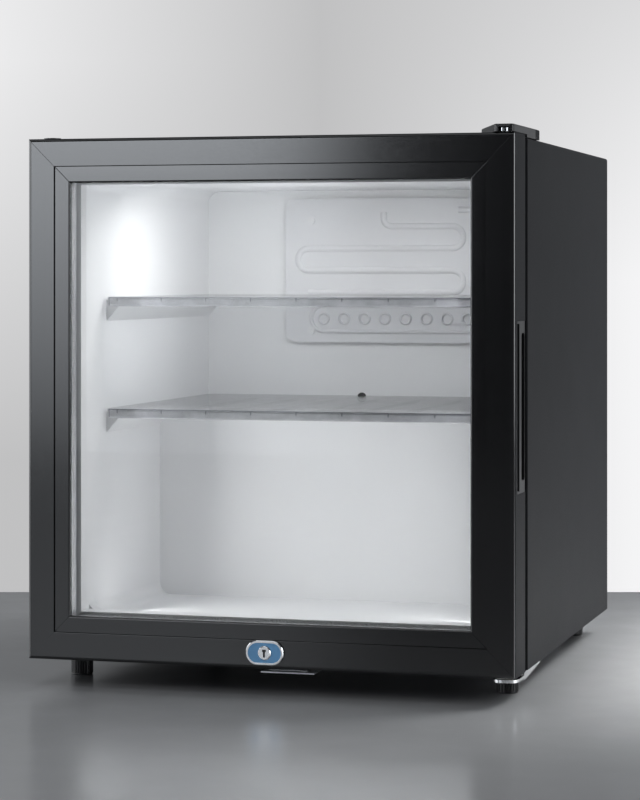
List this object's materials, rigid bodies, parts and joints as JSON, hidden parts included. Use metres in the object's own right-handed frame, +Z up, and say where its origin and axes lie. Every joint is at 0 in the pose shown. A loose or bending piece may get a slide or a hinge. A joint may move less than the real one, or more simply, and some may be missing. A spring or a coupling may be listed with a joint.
{
  "type": "mini fridge",
  "caption": "Counter-top fridge with a framed glass door on side hinges, a key lock, clear shelves and a cooling unit in its stepped back.",
  "frame": {"origin": "on the floor, under the middle of the fridge's box, feet at z = 0", "axes": "+Z up, -Y out of the glass door, +X towards the hinge side"},
  "size_m": [0.432, 0.4736, 0.483],
  "materials": {
    "black_sheet_steel": "fine-grained satin powder coat",
    "black_frame": "satin black coating on drawn aluminium",
    "black_plastic": "fine moulded texture",
    "chrome": "bright chrome plating",
    "zinc_steel": "galvanised, dull",
    "white_liner": "white vacuum-formed, soft gloss",
    "foam": "rigid polyurethane foam",
    "evaporator_coat": "white-coated aluminium",
    "clear_glass": "clear float glass",
    "clear_shelf": "clear polystyrene with a frosted edge",
    "spacer_metal": "mill-finish spacer bar",
    "grey_rubber": "soft black gasket",
    "white_seal": "soft white gasket",
    "nylon": "natural nylon",
    "blue_face": "glossy blue",
    "copper": "drawn copper, dulled",
    "compressor_paint": "black enamel",
    "lamp_white": "frosted white lens",
    "white_control": "white moulded"
  },
  "bodies": {
    "cabinet": {"cabinet_shell": "black_sheet_steel", "rear_panel": "zinc_steel", "machine_deck": "zinc_steel", "base_pan": "black_sheet_steel", "inner_liner": "white_liner", "foam_insulation": "foam", "evaporator_plate": "evaporator_coat", "evaporator_screws": "white_control", "control_housing": "white_control", "thermostat_body": "zinc_steel", "lamp_lens": "lamp_white", "hinge_pads": "zinc_steel", "top_hinge_bracket": "chrome", "top_hinge_cover": "black_plastic", "bottom_hinge_bracket": "chrome", "hinge_screws": "chrome", "hinge_hole_plugs": "black_plastic", "strike_plate": "zinc_steel", "strike_screws": "chrome", "rear_feet": "black_plastic", "foot_nuts": "zinc_steel", "compressor": "compressor_paint", "compressor_grommets": "grey_rubber", "compressor_relay_cover": "black_plastic", "condenser_coil": "copper", "filter_drier": "copper", "discharge_tube": "copper", "suction_tube": "copper", "capillary_tube": "copper", "drip_tray": "black_plastic", "drain_spout": "grey_rubber", "power_inlet": "black_plastic"},
    "door": {"frame_top_rail": "black_frame", "frame_bottom_rail": "black_frame", "frame_left_stile": "black_frame", "frame_right_stile": "black_frame", "top_bead": "black_frame", "bottom_bead": "black_frame", "left_bead": "black_frame", "right_bead": "black_frame", "outer_glass": "clear_glass", "inner_glass": "clear_glass", "glass_spacer": "spacer_metal", "inner_trim": "white_liner", "door_gasket": "white_seal", "left_pull_insert": "black_plastic", "right_pull_insert": "black_plastic", "hinge_bushes": "nylon", "door_hole_plugs": "black_plastic", "lock_housing": "chrome", "lock_face": "blue_face"},
    "lock": {"lock_plug": "chrome", "lock_cam": "zinc_steel", "cam_screw": "zinc_steel"},
    "dial": {"thermostat_dial": "white_control"},
    "switch": {"lamp_switch": "black_plastic"},
    "shelf_low": {"lower_shelf": "clear_shelf"},
    "shelf_high": {"upper_shelf": "clear_shelf"},
    "foot_left": {"left_levelling_foot": "black_plastic"},
    "foot_right": {"right_levelling_foot": "black_plastic"}
  },
  "joints": [
    {"name": "door_hinge", "type": "hinge", "parent": "cabinet", "child": "door", "pos_m": [0.202, -0.21025, 0.25], "axis": [0, 0, 1], "range_deg": [0, 115]},
    {"name": "lock_turn", "type": "hinge", "parent": "door", "child": "lock", "pos_m": [0, -0.18425, 0.0368], "axis": [0, 1, 0], "range_deg": [0, 90]},
    {"name": "dial_turn", "type": "hinge", "parent": "cabinet", "child": "dial", "pos_m": [0.13, 0.04675, 0.404], "axis": [1, 0, 0], "range_deg": [0, 270]},
    {"name": "lamp_rocker", "type": "hinge", "parent": "cabinet", "child": "switch", "pos_m": [0.138, 0.07375, 0.404], "axis": [0, 1, 0], "range_deg": [-6, 6]},
    {"name": "lower_shelf_slide", "type": "slide", "parent": "cabinet", "child": "shelf_low", "axis": [0, -1, 0], "range_m": [0, 0.04]},
    {"name": "upper_shelf_slide", "type": "slide", "parent": "cabinet", "child": "shelf_high", "axis": [0, -1, 0], "range_m": [0, 0.04]},
    {"name": "left_foot_turn", "type": "hinge", "parent": "cabinet", "child": "foot_left", "pos_m": [-0.194, -0.15825, 0.01], "axis": [0, 0, 1], "continuous": true},
    {"name": "right_foot_turn", "type": "hinge", "parent": "cabinet", "child": "foot_right", "pos_m": [0.194, -0.15825, 0.01], "axis": [0, 0, 1], "continuous": true}
  ]
}
